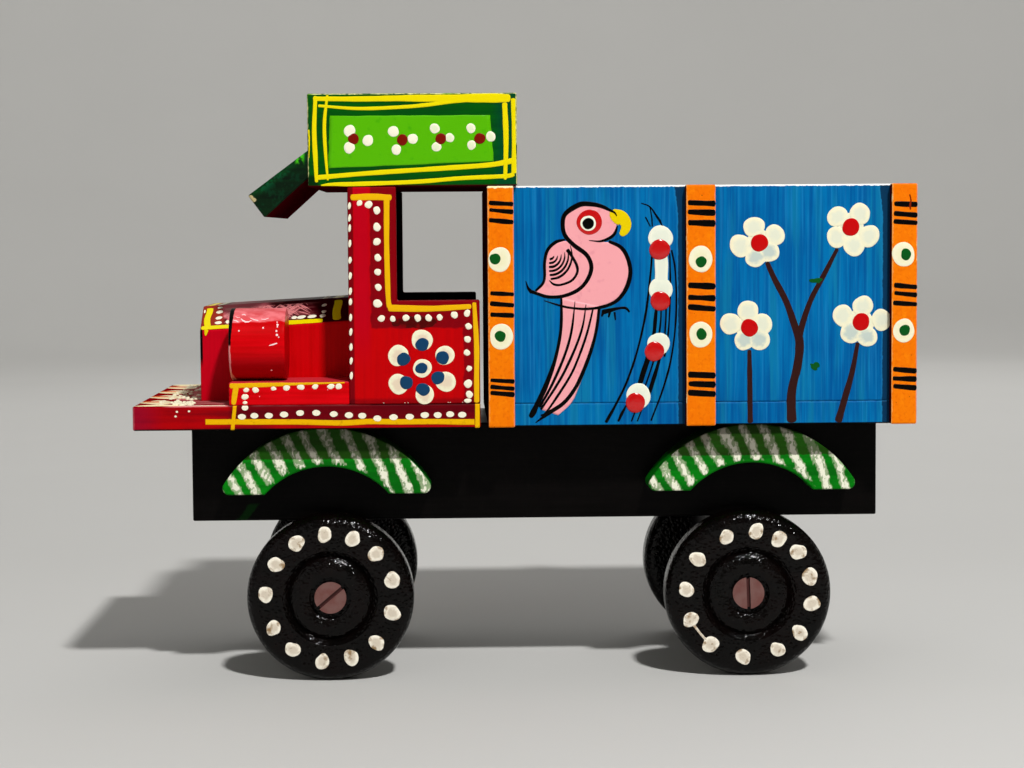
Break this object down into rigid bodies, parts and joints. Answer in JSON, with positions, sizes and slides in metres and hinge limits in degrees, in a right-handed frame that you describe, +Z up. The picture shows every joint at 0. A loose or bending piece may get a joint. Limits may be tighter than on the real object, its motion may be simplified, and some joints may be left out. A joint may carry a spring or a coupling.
{
  "type": "wooden toy truck",
  "caption": "Hand-painted wooden toy truck with an open load box, hollow cab under a roof box, bevelled hood and wheels rolling on screws.",
  "frame": {"origin": "middle of the truck's length and width, on the floor under the wheels", "axes": "+Z up, the truck faces -X, its left side is at -Y"},
  "size_m": [0.1706, 0.07, 0.1284],
  "materials": {
    "black_enamel": "gloss black paint on wood",
    "green_enamel": "gloss green paint on wood",
    "orange_enamel": "gloss orange paint on wood",
    "blue_enamel": "brushed blue paint on wood",
    "red_enamel": "gloss red paint on wood",
    "screw_steel": "satin"
  },
  "bodies": {
    "truck_body": {"chassis_block": "black_enamel", "axle_beam_front": "black_enamel", "axle_beam_rear": "black_enamel", "base_board": "red_enamel", "running_board_left": "red_enamel", "running_board_right": "red_enamel", "hood": "red_enamel", "headlamp_left": "red_enamel", "headlamp_right": "red_enamel", "cab_side_left": "red_enamel", "cab_side_right": "red_enamel", "cab_front": "red_enamel", "roof_box": "green_enamel", "visor": "green_enamel", "cargo_floor": "blue_enamel", "cargo_side_left": "blue_enamel", "cargo_side_right": "blue_enamel", "cargo_front": "blue_enamel", "tailboard": "blue_enamel", "fender_front_left": "green_enamel", "fender_front_right": "green_enamel", "fender_rear_left": "green_enamel", "fender_rear_right": "green_enamel", "batten_front_left": "orange_enamel", "batten_front_right": "orange_enamel", "batten_middle_left": "orange_enamel", "batten_middle_right": "orange_enamel", "batten_rear_left": "orange_enamel", "batten_rear_right": "orange_enamel", "wheel_screw_front_left": "screw_steel", "wheel_screw_front_right": "screw_steel", "wheel_screw_rear_left": "screw_steel", "wheel_screw_rear_right": "screw_steel"},
    "wheel_front_left": {"wheel_front_left": "black_enamel"},
    "wheel_front_right": {"wheel_front_right": "black_enamel"},
    "wheel_rear_left": {"wheel_rear_left": "black_enamel"},
    "wheel_rear_right": {"wheel_rear_right": "black_enamel"}
  },
  "joints": [
    {"name": "wheel_front_left_spin", "type": "hinge", "parent": "truck_body", "child": "wheel_front_left", "pos_m": [-0.0433, -0.027, 0.0184], "axis": [0, -1, 0], "continuous": true},
    {"name": "wheel_front_right_spin", "type": "hinge", "parent": "truck_body", "child": "wheel_front_right", "pos_m": [-0.0433, 0.027, 0.0184], "axis": [0, -1, 0], "continuous": true},
    {"name": "wheel_rear_left_spin", "type": "hinge", "parent": "truck_body", "child": "wheel_rear_left", "pos_m": [0.049, -0.027, 0.0184], "axis": [0, -1, 0], "continuous": true},
    {"name": "wheel_rear_right_spin", "type": "hinge", "parent": "truck_body", "child": "wheel_rear_right", "pos_m": [0.049, 0.027, 0.0184], "axis": [0, -1, 0], "continuous": true}
  ]
}
